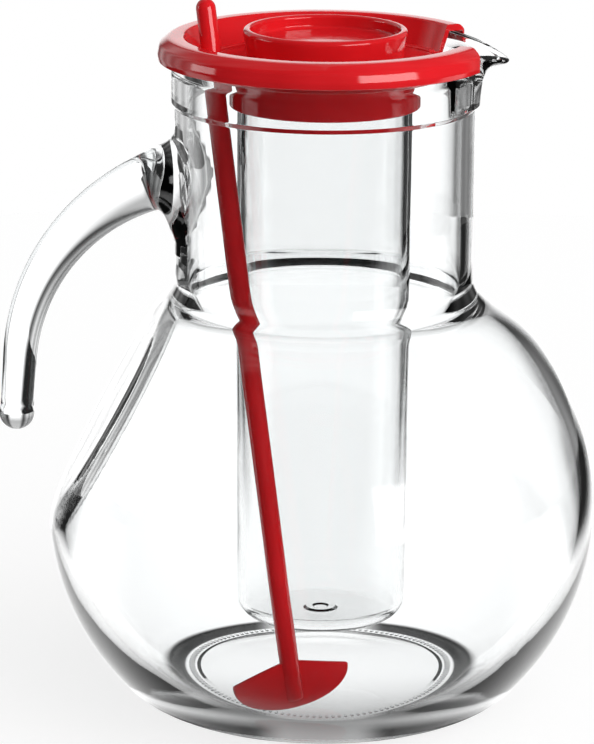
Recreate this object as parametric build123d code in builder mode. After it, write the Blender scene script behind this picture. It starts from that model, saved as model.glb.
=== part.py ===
"""Round glass carafe with a snap-in lid, an ice tube, the tube's cap and a stirrer.

All lengths are in millimetres. The origin is the middle of the foot, on the table.
+Z points up, the spout points to +X and the handle to -X.
"""

from build123d import *
import math
import os

# Ball of the jug: a slightly flattened sphere, cut flat below and standing on a foot ring
ball_radius = 84.0
ball_half_height = 79.7
ball_cut = 17.3
foot_ring_outer = 43.5
foot_ring_width = 3.5
foot_recess = 1.2
heel_height = 8.0
heel_slope = 0.2

# Glass thickness: thick at the floor, even higher up
floor_top_z = 6.0
floor_margin = 1.5
ball_wall = 4.2
shoulder_wall = 4.0
neck_wall = 3.9

# Flat finger panel pressed into the ball below the handle, ending just outside the neck's root
panel_root_gap = 1.0
panel_tilt = 28.5
panel_rounding = 5.0

# Neck, collar band and rim
neck_radius = 45.5
neck_height = 77.1
neck_root_fillet = 2.0
collar_step = 1.0
collar_height = 18.7
collar_chamfer = 1.4
rim_thickness = 2.8
rim_flare_height = 9.0

# Pinched spout
spout_length = 9.0
spout_lip_drop = 4.3
spout_tip_depth = 1.1
spout_underside_slope = 0.85
spout_curl = 17.8
spout_wall = 2.4
spout_tip_thickness = 3.5
spout_start_share = 0.06
spout_station_count = 7

# Handle: a solid glass hook drawn out of a pad on the neck
handle_root_drop = 40.4
handle_droop = 14.7
handle_bend_radius = 63.4
handle_bend_angle = 71.4
handle_tail = 18.0
handle_root_thickness = 19.2
handle_tail_thickness = 10.2
handle_end_thickness = 10.9
handle_taper_power = 1.9
handle_section_count = 9
handle_pad_drop = 3.6
handle_pad_margin = 0.2
handle_pad_flare = 9.4
handle_pad_depth = 6.0

# Lid: hollow ring on the rim, sunk well, tube collar, ledge, notch and stirrer hole
lid_wall = 1.9
lid_overhang = 4.1
lid_skirt_drop = 4.9
lid_rise = 2.4
lid_outer_rounding = 3.0
lid_inner_rounding = 1.0
well_side_gap = 1.0
well_draft = 3.0
well_depth = 8.2
well_floor_thickness = 2.0
well_wall = 1.5
ledge_step = 1.3
ledge_width = 2.2
ledge_height = 0.8
notch_azimuth = 3.5
notch_half_angle = 25.5
tube_collar_wall = 2.0
tube_collar_depth = 12.5
stirrer_hole_azimuth = 190.0
stirrer_hole_play = 1.0

# Ice tube: leaves this room to the neck on every side
tube_side_room = 15.1
tube_draft = 0.6
tube_wall = 2.0
tube_floor_gap = 20.0
tube_heel_radius = 6.0
gate_mark_radius = 4.0
gate_mark_height = 0.5

# Cap of the ice tube: a tapered bung, hollow from below, with a dished top
cap_rise = 2.4
cap_flare = 1.6
cap_side_gap = 1.1
cap_skirt_depth = 11.0
cap_wall = 2.0
cap_dish_depth = 4.0
cap_rim_thickness = 2.5
cap_rim_rounding_share = 0.8

# Stirrer: a round rod with a rounded tip and a shield-shaped paddle
rod_radius = 3.0
rod_rise = 13.9
rod_tube_gap = 0.7
rod_foot_wall_distance = 20.0
rod_foot_rise = 3.4
paddle_heading = 25.0
paddle_half_width = 19.0
paddle_peak = 13.6
paddle_tip = 8.2
paddle_keel = 2.6
paddle_thickness = 2.0
paddle_corner = 1.2

# Clearances between separate pieces, one overrun for every cut and one tolerance for picking edges
running_gap = 0.4
seat_gap = 0.3
overrun = 5.0
pick_tolerance = 0.4


def ellipse_angle(z, half_height):
    """Parameter angle, in degrees, of the ellipse point at height z."""
    return math.degrees(math.asin((z - ball_centre_z) / half_height))


# Heights of the jug, stacked from the table up
ball_centre_z = ball_half_height - ball_cut
junction_z = ball_centre_z + ball_half_height * math.sqrt(1 - (neck_radius / ball_radius) ** 2)
rim_z = junction_z + neck_height
collar_bottom_z = rim_z - collar_height
handle_root_z = rim_z - handle_root_drop
handle_pad_z = handle_root_z - handle_pad_drop

# Radii of foot, floor, neck and rim, and the half heights of the hollow below and above its middle
foot_ring_inner = foot_ring_outer - foot_ring_width
floor_radius = foot_ring_outer + floor_margin
collar_radius = neck_radius + collar_step
rim_inner_radius = collar_radius - rim_thickness
neck_inner_radius = neck_radius - neck_wall
inner_radius = ball_radius - ball_wall
inner_floor_slope = math.sqrt(1 - (floor_radius / inner_radius) ** 2)
inner_half_height_low = (ball_centre_z - floor_top_z) / inner_floor_slope
inner_neck_slope = math.sqrt(1 - (neck_inner_radius / inner_radius) ** 2)
inner_half_height_high = (junction_z - shoulder_wall - ball_centre_z) / inner_neck_slope
profile_plane = Plane.YZ

# Heel curve: leaves the foot ring at a low slope and runs into the ball without a corner
heel_radius = ball_radius * math.sqrt(1 - ((heel_height - ball_centre_z) / ball_half_height) ** 2)
ball_lean = (ball_radius / ball_half_height) ** 2 * (ball_centre_z - heel_height) / heel_radius
heel_control_z = (
    heel_slope * (heel_radius - ball_lean * heel_height - foot_ring_outer) / (1 - heel_slope * ball_lean)
)
heel_control_radius = heel_radius + ball_lean * (heel_control_z - heel_height)

# Plane of the finger panel, and the same plane moved in by the wall
panel_normal = Vector(-math.cos(math.radians(panel_tilt)), 0, math.sin(math.radians(panel_tilt)))
ball_centre = Vector(0, 0, ball_centre_z)
neck_root_at_handle = Vector(-neck_radius, 0, junction_z)
panel_distance = panel_normal.dot(neck_root_at_handle - ball_centre) + panel_root_gap
panel_plane = Plane(ball_centre + panel_normal * panel_distance, z_dir=panel_normal)
panel_inner_plane = Plane(
    ball_centre + panel_normal * (panel_distance - ball_wall), z_dir=panel_normal
)


def panel_edges(shape, plane):
    """Edges around the flat panel."""
    return shape.faces().filter_by(GeomType.PLANE).sort_by(Axis(plane.origin, plane.z_dir))[-1].edges()


def spout_lip_z(x):
    """Height of the lip: level with the rim at the neck, falling towards the tip."""
    way = (x - spout_root_x) / (spout_reach - spout_root_x)
    return rim_z - spout_lip_drop * max(way, 0) ** 2


def spout_depth(x):
    """Depth of the channel's outside below the lip, growing fast near the neck."""
    run = spout_reach - x
    return spout_tip_depth + spout_underside_slope * run + run**3 / spout_curl**2


def spout_half_width(x, reach):
    """Half the width of the V that runs from the tip at this reach, tangent to the collar."""
    return (reach - x) * collar_radius / math.sqrt(spout_reach**2 - collar_radius**2)


def station_plane(x):
    """Upright plane across the spout, with its origin on the lip."""
    return Plane((x, 0, spout_lip_z(x)), x_dir=(0, 1, 0), z_dir=(1, 0, 0))


spout_reach = collar_radius + spout_length
spout_root_x = collar_radius**2 / spout_reach
spout_channel_root_x = spout_root_x - spout_wall
spout_inner_reach = spout_reach - spout_tip_thickness
station_shares = [
    spout_start_share + (1 - spout_start_share) * i / (spout_station_count - 1)
    for i in range(spout_station_count)
]

# Outside of the ball with its panel
with BuildPart() as ball:
    with BuildSketch(profile_plane):
        with BuildLine():
            Polyline(
                (0, ball_centre_z + ball_half_height),
                (0, foot_recess),
                (foot_ring_inner - foot_recess, foot_recess),
                (foot_ring_inner, 0),
                (foot_ring_outer, 0),
            )
            Bezier(
                (foot_ring_outer, 0),
                (heel_control_radius, heel_control_z),
                (heel_radius, heel_height),
            )
            EllipticalCenterArc(
                (0, ball_centre_z),
                ball_radius,
                ball_half_height,
                start_angle=ellipse_angle(heel_height, ball_half_height),
                arc_size=90 - ellipse_angle(heel_height, ball_half_height),
            )
        make_face()
    revolve(axis=Axis.Z)
    split(bisect_by=panel_plane, keep=Keep.BOTTOM)

# Hollow of the ball: the floor ends where the wall starts to rise
with BuildPart() as ball_hollow:
    with BuildSketch(profile_plane):
        with BuildLine():
            Polyline(
                (0, ball_centre_z + inner_half_height_high),
                (0, floor_top_z),
                (floor_radius, floor_top_z),
            )
            EllipticalCenterArc(
                (0, ball_centre_z),
                inner_radius,
                inner_half_height_low,
                start_angle=ellipse_angle(floor_top_z, inner_half_height_low),
                arc_size=-ellipse_angle(floor_top_z, inner_half_height_low),
            )
            EllipticalCenterArc(
                (0, ball_centre_z),
                inner_radius,
                inner_half_height_high,
                start_angle=0,
                arc_size=90,
            )
        make_face()
    revolve(axis=Axis.Z)
    split(bisect_by=panel_inner_plane, keep=Keep.BOTTOM)
    fillet(panel_edges(ball_hollow.part, panel_inner_plane), panel_rounding)

with BuildPart() as glass_jug:
    add(ball.part)
    # Neck and collar band
    with BuildSketch(profile_plane):
        with BuildLine():
            rim_edge = Polyline(
                (rim_inner_radius, rim_z - rim_thickness / 2),
                (0, rim_z - rim_thickness / 2),
                (0, ball_centre_z),
                (neck_radius, ball_centre_z),
                (neck_radius, collar_bottom_z),
                (collar_radius, collar_bottom_z + collar_chamfer),
                (collar_radius, rim_z - rim_thickness / 2),
            )
            ThreePointArc(
                rim_edge @ 1,
                (collar_radius - rim_thickness / 2, rim_z),
                rim_edge @ 0,
            )
        make_face()
    revolve(axis=Axis.Z)
    neck_root = glass_jug.edges().filter_by(
        lambda edge: abs((edge @ 0.5).Z - junction_z) < neck_root_fillet
        and abs(math.hypot((edge @ 0.5).X, (edge @ 0.5).Y) - neck_radius) < pick_tolerance
    )
    fillet(neck_root, neck_root_fillet)
    fillet(panel_edges(glass_jug.part, panel_plane), panel_rounding)
    # Outside of the spout
    for share in station_shares:
        x = spout_reach - share * (spout_reach - spout_root_x)
        with BuildSketch(station_plane(x)):
            with BuildLine():
                lower = EllipticalCenterArc(
                    (0, 0), spout_half_width(x, spout_reach), spout_depth(x), 180, arc_size=180
                )
                Line(lower @ 1, lower @ 0)
            make_face()
    loft()
    # Hollow of ball, neck and rim
    add(ball_hollow.part, mode=Mode.SUBTRACT)
    with BuildSketch(profile_plane):
        with BuildLine():
            Polyline(
                (0, ball_centre_z),
                (neck_inner_radius, ball_centre_z),
                (neck_inner_radius, rim_z - rim_flare_height),
                (rim_inner_radius, rim_z - rim_thickness / 2),
                (rim_inner_radius, rim_z + overrun),
                (0, rim_z + overrun),
                close=True,
            )
        make_face()
    revolve(axis=Axis.Z, mode=Mode.SUBTRACT)
    # Channel of the spout, open at the top
    for share in station_shares:
        x = spout_inner_reach - share * (spout_inner_reach - spout_channel_root_x)
        half_width = spout_half_width(x, spout_inner_reach)
        with BuildSketch(station_plane(x)):
            with BuildLine():
                lower = EllipticalCenterArc(
                    (0, 0), half_width, spout_depth(x) - spout_wall, 180, arc_size=180
                )
                Polyline(
                    lower @ 1,
                    (half_width, overrun),
                    (-half_width, overrun),
                    lower @ 0,
                )
            make_face()
    loft(mode=Mode.SUBTRACT)
glass_jug.part.label = "glass_jug"

# Handle: round sections along a drooping arc and a straight tail, flaring into the pad
with BuildLine(Plane.XZ) as handle_line:
    droop = math.radians(handle_droop)
    bend = JernArc(
        (-neck_radius, handle_root_z),
        (-math.cos(droop), -math.sin(droop)),
        handle_bend_radius,
        handle_bend_angle,
    )
    Line(bend @ 1, (bend @ 1) + (bend % 1) * handle_tail)
handle_route = handle_line.wires()[0]


def handle_thickness(way):
    """Thickness of the handle at a share of the way from the neck to its end."""
    swell = handle_root_thickness - handle_tail_thickness
    return handle_tail_thickness + swell * (1 - way) ** handle_taper_power


with BuildPart() as handle:
    root = handle_route @ 0
    root_direction = handle_route % 0
    with BuildSketch(Plane(root - root_direction * handle_pad_depth, z_dir=root_direction)):
        Circle(handle_root_thickness / 2)
    for i in range(handle_section_count):
        way = i / (handle_section_count - 1)
        with BuildSketch(Plane(handle_route @ way, z_dir=handle_route % way)):
            Circle(handle_thickness(way) / 2)
    loft()
    with Locations(handle_route @ 1):
        Sphere(handle_end_thickness / 2)
    flare_end = neck_radius
    flare_start = neck_radius + handle_pad_flare
    throat_top_z = handle_pad_z + handle_root_thickness / 2 + handle_pad_margin
    with BuildSketch(Plane.XZ):
        with BuildLine():
            flare = RadiusArc(
                (-flare_start, throat_top_z),
                (-flare_end, throat_top_z + handle_pad_flare),
                -handle_pad_flare,
            )
            Polyline(
                flare @ 1,
                (-flare_end + handle_pad_depth, throat_top_z + handle_pad_flare + overrun),
                (-flare_end + handle_pad_depth, handle_pad_z),
                (-flare_start, handle_pad_z),
                flare @ 0,
            )
        make_face()
    revolve(axis=Axis((0, 0, handle_pad_z), (1, 0, 0)))
    # Everything inside the outline of the neck belongs to the jug
    with BuildSketch(Plane.XY.offset(ball_centre_z)):
        Circle(neck_radius)
    extrude(amount=rim_z - ball_centre_z, mode=Mode.SUBTRACT)
handle.part.label = "handle"

# Sizes of the lid that follow from the rim, the tube and the cap
lid_radius = collar_radius + lid_overhang
lid_skirt_bottom_z = rim_z - lid_skirt_drop
lid_top_z = rim_z + lid_rise
crown_under_z = rim_z + seat_gap
well_mouth_radius = rim_inner_radius - well_side_gap
well_floor_radius = well_mouth_radius - well_draft
well_floor_z = lid_top_z - well_depth
well_slope = well_draft / well_depth
floor_under_z = well_floor_z - well_floor_thickness
ledge_outer = well_floor_radius - ledge_step
ledge_inner = ledge_outer - ledge_width
tube_top_radius = neck_inner_radius - tube_side_room
tube_collar_bottom_z = well_floor_z - tube_collar_depth
tube_collar_inner = tube_top_radius + running_gap
tube_collar_outer = tube_collar_inner + tube_collar_wall
cap_seat_radius = tube_top_radius - tube_wall - cap_side_gap
cap_hole_radius = cap_seat_radius + seat_gap
well_outer_top = well_floor_radius + well_wall + well_slope * (crown_under_z - well_floor_z)
well_outer_low = well_floor_radius + well_wall - well_slope * well_floor_thickness
stirrer_hole_radius = rod_radius + stirrer_hole_play
stirrer_hole_distance = ledge_outer - running_gap - stirrer_hole_radius

with BuildPart() as lid:
    with BuildSketch(profile_plane):
        with BuildLine():
            Polyline(
                (lid_radius, lid_skirt_bottom_z),
                (lid_radius, lid_top_z),
                (well_mouth_radius, lid_top_z),
                (well_floor_radius, well_floor_z),
                (ledge_outer, well_floor_z),
                (ledge_outer, well_floor_z + ledge_height),
                (ledge_inner, well_floor_z + ledge_height),
                (ledge_inner, well_floor_z),
                (cap_hole_radius, well_floor_z),
                (cap_hole_radius, floor_under_z),
                (tube_collar_inner, floor_under_z),
                (tube_collar_inner, tube_collar_bottom_z),
                (tube_collar_outer, tube_collar_bottom_z),
                (tube_collar_outer, floor_under_z),
                (well_outer_low, floor_under_z),
                (well_outer_top, crown_under_z),
                (lid_radius - lid_wall, crown_under_z),
                (lid_radius - lid_wall, lid_skirt_bottom_z),
                close=True,
            )
        make_face()
        fillet(vertices().group_by(Axis.Y)[-1].sort_by(Axis.X)[-1], lid_outer_rounding)
        fillet(vertices().group_by(Axis.Y)[-1].sort_by(Axis.X)[0], lid_inner_rounding)
    revolve(axis=Axis.Z)
    # Pouring notch through ring, well wall and floor
    with BuildSketch(Plane.XY.offset(floor_under_z - overrun)):
        with BuildLine():
            notch_start = notch_azimuth - notch_half_angle
            inner_arc = CenterArc((0, 0), ledge_inner, notch_start, 2 * notch_half_angle)
            outer_arc = CenterArc((0, 0), lid_radius + overrun, notch_start, 2 * notch_half_angle)
            Line(inner_arc @ 0, outer_arc @ 0)
            Line(inner_arc @ 1, outer_arc @ 1)
        make_face()
    extrude(amount=lid_top_z - floor_under_z + 2 * overrun, mode=Mode.SUBTRACT)
    # Hole for the stirrer
    with BuildSketch(Plane.XY.offset(floor_under_z - overrun)):
        with PolarLocations(stirrer_hole_distance, 1, start_angle=stirrer_hole_azimuth):
            Circle(stirrer_hole_radius)
    extrude(amount=well_floor_thickness + 2 * overrun, mode=Mode.SUBTRACT)
lid.part.label = "lid"

# Ice tube, closed below and open above
tube_top_z = floor_under_z - seat_gap
tube_bottom_z = floor_top_z + tube_floor_gap
tube_foot_radius = tube_top_radius - tube_draft
with BuildPart() as ice_tube:
    with BuildSketch(profile_plane):
        with BuildLine():
            Polyline(
                (0, tube_bottom_z),
                (tube_foot_radius, tube_bottom_z),
                (tube_top_radius, tube_top_z),
                (tube_top_radius - tube_wall, tube_top_z),
                (tube_foot_radius - tube_wall, tube_bottom_z + tube_wall),
                (0, tube_bottom_z + tube_wall),
                close=True,
            )
        make_face()
        outside_corner = vertices().sort_by_distance((tube_foot_radius, tube_bottom_z))[0]
        fillet(outside_corner, tube_heel_radius)
        inside_corner = vertices().sort_by_distance(
            (tube_foot_radius - tube_wall, tube_bottom_z + tube_wall)
        )[0]
        fillet(inside_corner, tube_heel_radius - tube_wall)
    revolve(axis=Axis.Z)
    with BuildSketch(Plane.XY.offset(tube_bottom_z + tube_wall)):
        Circle(gate_mark_radius)
    extrude(amount=gate_mark_height)
ice_tube.part.label = "ice_tube"

# Cap of the tube: rim, dished plate and a hollow tapered skirt that enters the tube
cap_top_z = lid_top_z + cap_rise
cap_top_radius = cap_seat_radius + cap_flare
cap_slope = cap_flare / (cap_top_z - well_floor_z)
cap_bottom_z = well_floor_z - cap_skirt_depth
cap_plate_z = cap_top_z - cap_dish_depth
with BuildPart() as tube_cap:
    with BuildSketch(profile_plane):
        with BuildLine():
            Polyline(
                (0, cap_plate_z),
                (cap_top_radius - cap_rim_thickness, cap_plate_z),
                (cap_top_radius - cap_rim_thickness, cap_top_z),
                (cap_top_radius, cap_top_z),
                (cap_seat_radius - cap_slope * cap_skirt_depth, cap_bottom_z),
                (cap_seat_radius - cap_slope * cap_skirt_depth - cap_wall, cap_bottom_z),
                (cap_seat_radius - cap_wall, cap_plate_z - cap_wall),
                (0, cap_plate_z - cap_wall),
                close=True,
            )
        make_face()
        fillet(vertices().group_by(Axis.Y)[-1], cap_rim_thickness / 2 * cap_rim_rounding_share)
    revolve(axis=Axis.Z)
tube_cap.part.label = "tube_cap"

# Stirrer: leans from the lid's hole past the tube, to a foot that keeps its distance from the wall
pass_radius = tube_top_radius + rod_radius + rod_tube_gap
paddle_tip_z = floor_top_z + rod_foot_rise + paddle_tip
wall_radius = inner_radius * math.sqrt(1 - ((paddle_tip_z - ball_centre_z) / inner_half_height_low) ** 2)
rod_foot_distance = wall_radius - rod_foot_wall_distance
rod_foot_azimuth = (
    stirrer_hole_azimuth
    + math.degrees(math.acos(pass_radius / stirrer_hole_distance))
    + math.degrees(math.acos(pass_radius / rod_foot_distance))
)
hole_centre = Vector(stirrer_hole_distance, 0, well_floor_z - well_floor_thickness / 2).rotate(
    Axis.Z, stirrer_hole_azimuth
)
rod_foot = Vector(rod_foot_distance, 0, floor_top_z + rod_foot_rise).rotate(Axis.Z, rod_foot_azimuth)
rod_direction = (hole_centre - rod_foot).normalized()
heading = math.radians(paddle_heading)
level = Vector(math.cos(heading), math.sin(heading), 0)
paddle_across = (level - rod_direction * level.dot(rod_direction)).normalized()
rod_top_z = rim_z + rod_rise
rod_length = (rod_top_z - rod_radius - rod_foot.Z) / rod_direction.Z
with BuildPart() as stirrer:
    with BuildSketch(Plane(rod_foot, z_dir=rod_direction)):
        Circle(rod_radius)
    extrude(amount=rod_length)
    with Locations(rod_foot + rod_direction * rod_length):
        Sphere(rod_radius)
    with BuildSketch(Plane(rod_foot, x_dir=paddle_across, z_dir=paddle_across.cross(rod_direction))):
        with BuildLine():
            Polyline(
                (-paddle_half_width, paddle_tip),
                (0, paddle_peak),
                (paddle_half_width, paddle_tip),
            )
            EllipticalCenterArc(
                (0, paddle_tip), paddle_half_width, paddle_tip + paddle_keel, 180, arc_size=180
            )
        make_face()
        fillet(vertices().group_by(Axis.X)[0] + vertices().group_by(Axis.X)[-1], paddle_corner)
    extrude(amount=paddle_thickness / 2, both=True)
stirrer.part.label = "stirrer"

os.makedirs("parts", exist_ok=True)
export_step(glass_jug.part, "parts/glass_jug.step")
export_step(handle.part, "parts/handle.step")
export_step(lid.part, "parts/lid.step")
export_step(ice_tube.part, "parts/ice_tube.step")
export_step(tube_cap.part, "parts/tube_cap.step")
export_step(stirrer.part, "parts/stirrer.step")
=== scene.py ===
import math

import bmesh
import bpy
import numpy as np
from mathutils import Matrix, Vector


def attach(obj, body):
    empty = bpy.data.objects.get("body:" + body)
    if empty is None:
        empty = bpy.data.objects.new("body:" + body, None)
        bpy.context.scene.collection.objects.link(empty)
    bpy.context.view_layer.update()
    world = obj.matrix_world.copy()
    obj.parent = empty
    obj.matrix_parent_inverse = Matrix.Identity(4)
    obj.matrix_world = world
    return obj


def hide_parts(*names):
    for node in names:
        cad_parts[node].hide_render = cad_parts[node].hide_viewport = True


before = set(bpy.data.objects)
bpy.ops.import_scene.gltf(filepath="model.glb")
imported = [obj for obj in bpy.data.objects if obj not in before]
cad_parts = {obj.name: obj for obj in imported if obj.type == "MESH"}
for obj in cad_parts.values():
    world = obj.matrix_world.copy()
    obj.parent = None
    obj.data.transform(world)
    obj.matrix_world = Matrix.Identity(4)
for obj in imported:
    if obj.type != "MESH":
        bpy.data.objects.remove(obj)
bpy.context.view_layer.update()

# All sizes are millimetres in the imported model's frame: +Z up, the spout at +X, the handle at -X.
MILLIMETRE = 0.001

# Ball, foot and floor of the jug
ball_radius = 84.0
ball_half_height = 79.7
ball_centre_z = 62.4
foot_ring_outer = 43.5
foot_ring_inner = 40.0
foot_recess = 1.2
foot_edge_z = 0.25
heel_height = 8.0
heel_slope = 0.2
floor_top_z = 6.0
floor_radius = 47.5
ball_wall = 4.2
shoulder_wall = 3.2
shoulder_bulge = 1.5

# Finger panel
panel_root_gap = 1.0
panel_tilt = math.radians(28.5)
panel_softness = 2.2

# Neck, collar band and rim
neck_radius = 45.5
neck_wall = 3.9
neck_height = 77.1
neck_root_reach = 7.0
inner_root_reach = 2.2
collar_radius = 46.5
collar_chamfer = 1.4
collar_band_height = 18.7
rim_thickness = 2.8
rim_flare_height = 9.0

# Spout
spout_reach = 55.5
spout_lip_drop = 3.6
spout_tip_depth = 3.0
spout_underside_slope = 0.3
spout_curl = 9.0
spout_wall = 1.0
spout_tip_thickness = 1.4
tip_rounding = 1.1
channel_depth = 9.5
spout_tip_softness = 2.0
spout_blend = 2.5
spout_root_run = 16.0
spout_root_depth = 60.0
spout_least_depth = 0.2

# Handle
handle_root_drop = 40.4
handle_droop = math.radians(14.7)
handle_bend_radius = 63.4
handle_bend_angle = math.radians(71.4)
handle_tail = 18.0
handle_slim_radius = 5.1
handle_swell = 4.5
handle_taper = 1.9
handle_end_radius = 5.45
pad_drop = 3.6
pad_flare = 10.5
pad_width_share = 1.2
pad_bite = 0.6

# Lid
lid_wall = 1.9
lid_radius = 50.6
lid_crown = 2.4
lid_skirt_drop = 4.9
well_depth = 8.2
well_mouth_radius = 42.7
well_floor_radius = 39.7
well_floor_thickness = 2.0
well_wall = 1.5
ledge_outer = 38.4
ledge_inner = 36.2
ledge_height = 0.8
notch_azimuth = math.radians(3.5)
notch_half_angle = math.radians(25.5)
notch_inner_radius = 36.2
notch_corner = 4.2
notch_overrun = 1.3
collar_wall = 2.0
tube_collar_depth = 12.5
stirrer_hole_azimuth = math.radians(190.0)
stirrer_hole_distance = 34.0
stirrer_hole_radius = 4.0

# Ice tube and its cap
tube_top_radius = 26.5
tube_foot_radius = 25.9
tube_wall = 2.0
tube_bottom_z = 26.0
tube_heel_radius = 6.0
gate_mark_radii = (5.4, 4.6, 2.6, 2.0)
gate_mark_height = 0.6
gate_mark_floor = 0.1
cap_rise = 2.4
cap_top_radius = 25.0
cap_seat_radius = 23.4
cap_skirt_depth = 11.0
cap_wall = 2.0
cap_dish_depth = 4.0
cap_rim_thickness = 2.5

# Stirrer
rod_radius = 3.0
rod_rise = 13.9
rod_foot = Vector((-7.88, -39.45, 9.4))
paddle_heading = math.radians(25.0)
paddle_half_width = 19.0
paddle_peak = 13.6
paddle_tip = 8.2
paddle_keel = 2.6
paddle_corner_rise = 0.8
paddle_thickness = 2.0
paddle_rounding = 0.6

# Studio: headings and half widths in degrees from +X, then strengths, heights and the table's size
sweep_heading = 90
sweep_half_width = 14.5
left_wing = (143, 31, 5)
right_wing = (45, 22, 6)
softbox_place = (-46, 21, 1.5)
strip_place = (178, 11, 1.5)
sweep_top = -0.15
sweep_high_share = 0.4
sweep_strength = 1.3
left_strength = 0.85
right_strength = 0.3
streak_count = 24.0
streak_depth = 0.25
streak_level = 0.7
softbox_strength = 6.0
strip_share = 0.6
room_strength = 0.02
key_strength = 2.3
key_direction = (0.68, -0.55, 0.5)
ambient = 0.14
table_radius = 700
table_share = 0.97
flag_headings = (43, 137)
flag_half_width = 22
# Walls seen through the glass alone: heading, half width and strength
walls_through_glass = ((-90, 17, 1.2), (-46, 19, 0.9), (-134, 19, 0.9), (-2, 16, 1.0), (-176, 14, 1.0))

# Raised ticks on the standing ring
tick_count = 132
tick_size = (2.4, 1.1, 1.6)
tick_height = 0.8

# Clearances
running_gap = 0.4
seat_gap = 0.3


def add_object(name, mesh):
    """Object at the origin that carries this mesh."""
    piece = bpy.data.objects.new(name, mesh)
    bpy.context.scene.collection.objects.link(piece)
    return piece


def mesh_from(name, points, faces):
    """Mesh from points in millimetres."""
    mesh = bpy.data.meshes.new(name)
    mesh.from_pydata((np.asarray(points, float) * MILLIMETRE).tolist(), [], faces)
    mesh.update()
    return mesh


def close_and_orient(mesh):
    """Merges double points, then turns every face of the closed shell outwards."""
    work = bmesh.new()
    work.from_mesh(mesh)
    bmesh.ops.remove_doubles(work, verts=work.verts, dist=1e-7)
    bmesh.ops.dissolve_degenerate(work, edges=work.edges, dist=1e-7)
    bmesh.ops.recalc_face_normals(work, faces=work.faces)
    work.to_mesh(mesh)
    work.free()


def smooth(mesh, angle):
    """Smooth shading with edges sharper than this angle kept."""
    mesh.shade_smooth()
    mesh.set_sharp_from_angle(angle=angle)


def band_faces(rows, columns):
    """Faces of a grid that closes on itself around its columns."""
    faces = []
    for i in range(rows - 1):
        for j in range(columns):
            k = (j + 1) % columns
            faces.append((i * columns + j, i * columns + k, (i + 1) * columns + k, (i + 1) * columns + j))
    return faces


def arc(centre, radii, start, end, count):
    """Points of an elliptical arc in the (radius, height) plane, both ends included."""
    angles = np.linspace(start, end, count)
    return np.stack([centre[0] + radii[0] * np.cos(angles), centre[1] + radii[1] * np.sin(angles)], 1)


def bezier(points, count):
    """Quadratic Bezier curve with both ends included."""
    a, b, c = (np.array(p, float) for p in points)
    t = np.linspace(0, 1, count)[:, None]
    return a * (1 - t) ** 2 + 2 * b * t * (1 - t) + c * t**2


def line(a, b, count):
    """Evenly spaced points from a to b, both included."""
    return np.linspace(np.array(a, float), np.array(b, float), count)


def joined(*runs):
    """One row of points from several runs, without the points that repeat."""
    points = np.concatenate([np.atleast_2d(np.asarray(run, float)) for run in runs])
    keep = np.ones(len(points), bool)
    keep[1:] = np.linalg.norm(np.diff(points, axis=0), axis=1) > 1e-6
    return points[keep]


def rounded(corners, steps=5):
    """Closed or open outline from (radius, height, rounding) corners; each rounding becomes an arc."""
    points = []
    count = len(corners)
    for i, (x, z, size) in enumerate(corners):
        here = np.array((x, z), float)
        if size == 0:
            points.append(here)
            continue
        before = np.array(corners[i - 1][:2], float) - here
        after = np.array(corners[(i + 1) % count][:2], float) - here
        before /= np.linalg.norm(before)
        after /= np.linalg.norm(after)
        half = math.acos(float(np.clip(before @ after, -1, 1))) / 2
        reach = size / math.tan(half)
        centre = here + (before + after) / np.linalg.norm(before + after) * size / math.sin(half)
        first = here + before * reach - centre
        last = here + after * reach - centre
        sweep = math.pi - 2 * half
        for k in range(steps + 1):
            t = k / steps
            point = first * math.sin((1 - t) * sweep) + last * math.sin(t * sweep)
            points.append(centre + point / math.sin(sweep))
    return np.array(points)


def smooth_min(a, b, reach):
    """Lower of two values, blended where they differ by less than the reach."""
    way = np.clip(reach - np.abs(a - b), 0, None) / reach
    return np.minimum(a, b) - way**2 * reach / 4


def smooth_max(a, b, reach):
    """Higher of two values, blended in the same way."""
    return -smooth_min(-a, -b, reach)


def spun(name, profile, columns, loop):
    """Body of revolution. A loop profile closes on itself; an open one runs from axis to axis."""
    angles = np.linspace(0, 2 * math.pi, columns, endpoint=False)
    profile = np.asarray(profile, float)
    ring = profile if loop else profile[1:-1]
    points = [(r * math.cos(a), r * math.sin(a), z) for r, z in ring for a in angles]
    faces = band_faces(len(ring), columns)
    last = (len(ring) - 1) * columns
    if loop:
        for j in range(columns):
            k = (j + 1) % columns
            faces.append((last + j, last + k, k, j))
    else:
        points += [(0, 0, profile[0][1]), (0, 0, profile[-1][1])]
        low, high = len(points) - 2, len(points) - 1
        for j in range(columns):
            k = (j + 1) % columns
            faces.append((low, k, j))
            faces.append((high, last + j, last + k))
    mesh = mesh_from(name, points, faces)
    close_and_orient(mesh)
    return add_object(name, mesh)


def combine(piece, tool, operation):
    """Exact union or difference of two closed meshes; the tool is used up."""
    modifier = piece.modifiers.new("cut", "BOOLEAN")
    modifier.operation = operation
    modifier.solver = "EXACT"
    modifier.object = tool
    shape = bpy.data.meshes.new_from_object(piece.evaluated_get(bpy.context.evaluated_depsgraph_get()))
    piece.modifiers.clear()
    old = piece.data
    piece.data = shape
    bpy.data.meshes.remove(old)
    used = tool.data
    bpy.data.objects.remove(tool)
    bpy.data.meshes.remove(used)


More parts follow.
